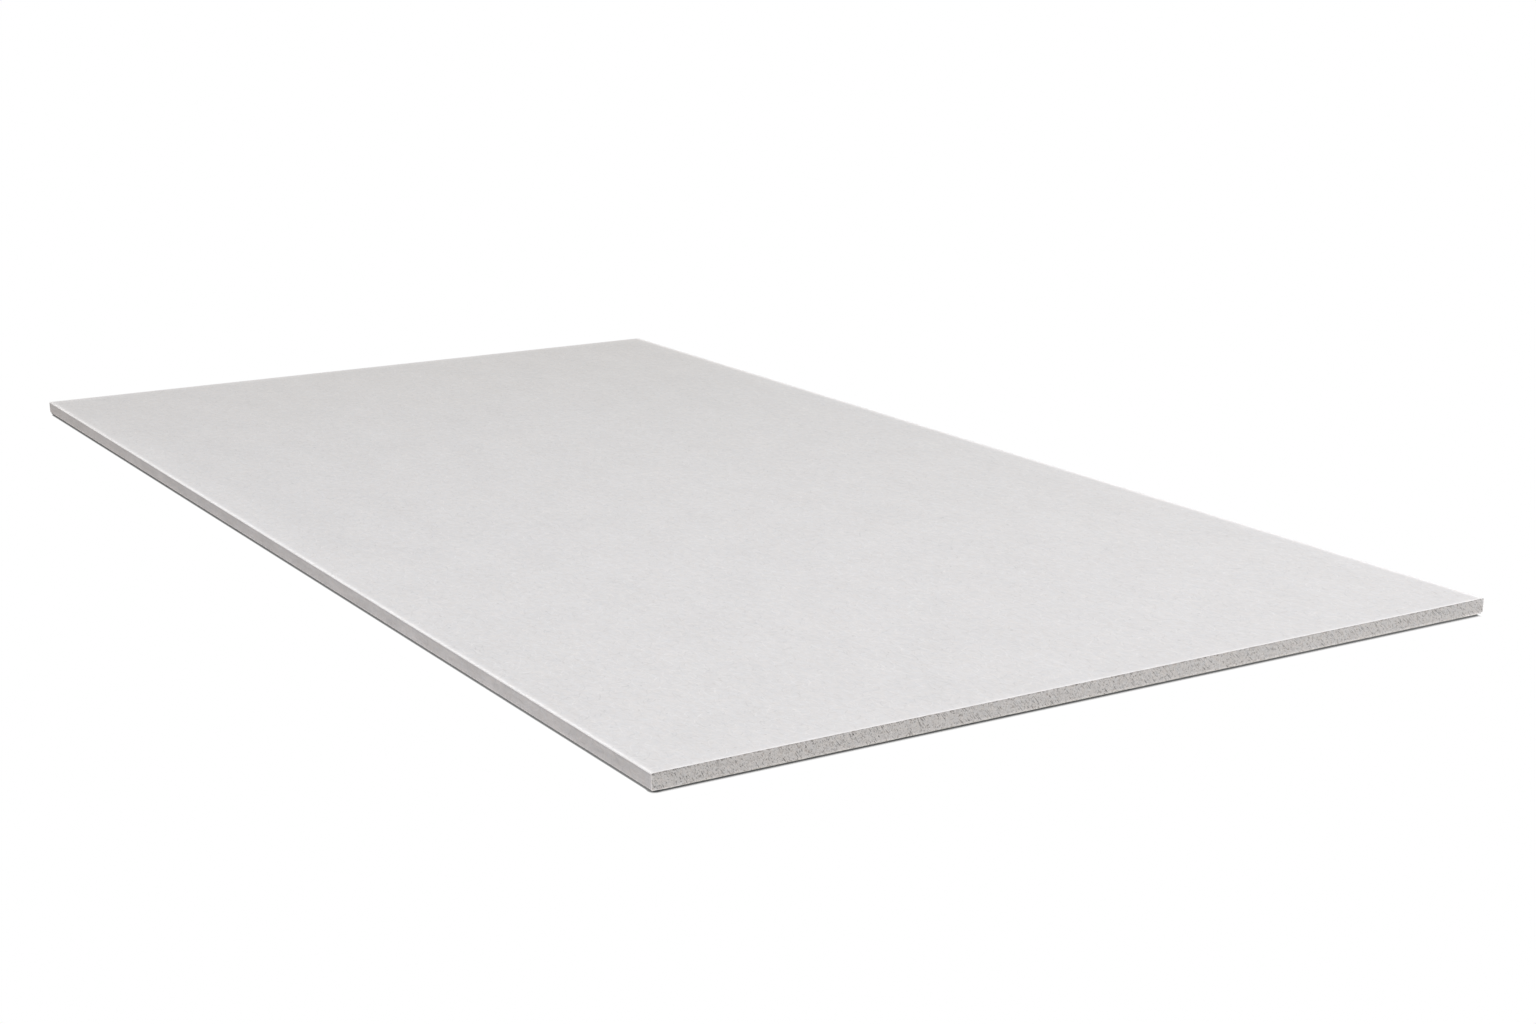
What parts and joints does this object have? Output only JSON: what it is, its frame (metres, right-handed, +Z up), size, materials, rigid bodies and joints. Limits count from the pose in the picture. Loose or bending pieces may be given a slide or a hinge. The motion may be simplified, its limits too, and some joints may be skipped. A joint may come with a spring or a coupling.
{
  "type": "drywall sheet",
  "caption": "Flat rectangular drywall sheet: a gypsum core between a face paper wrapped round the long square edges and a back paper, with sawn ends.",
  "frame": {"origin": "centre of the underside, on the surface that the sheet lies on", "axes": "+X along the length and the paper-wrapped long edges, +Y across the width, +Z up out of the face paper"},
  "size_m": [1.8, 0.9, 0.015],
  "materials": {
    "gypsum": "matte",
    "face_liner": "matte",
    "back_liner": "matte"
  },
  "bodies": {
    "root": {"gypsum_core": "gypsum", "face_paper": "face_liner", "back_paper": "back_liner"}
  },
  "joints": []
}
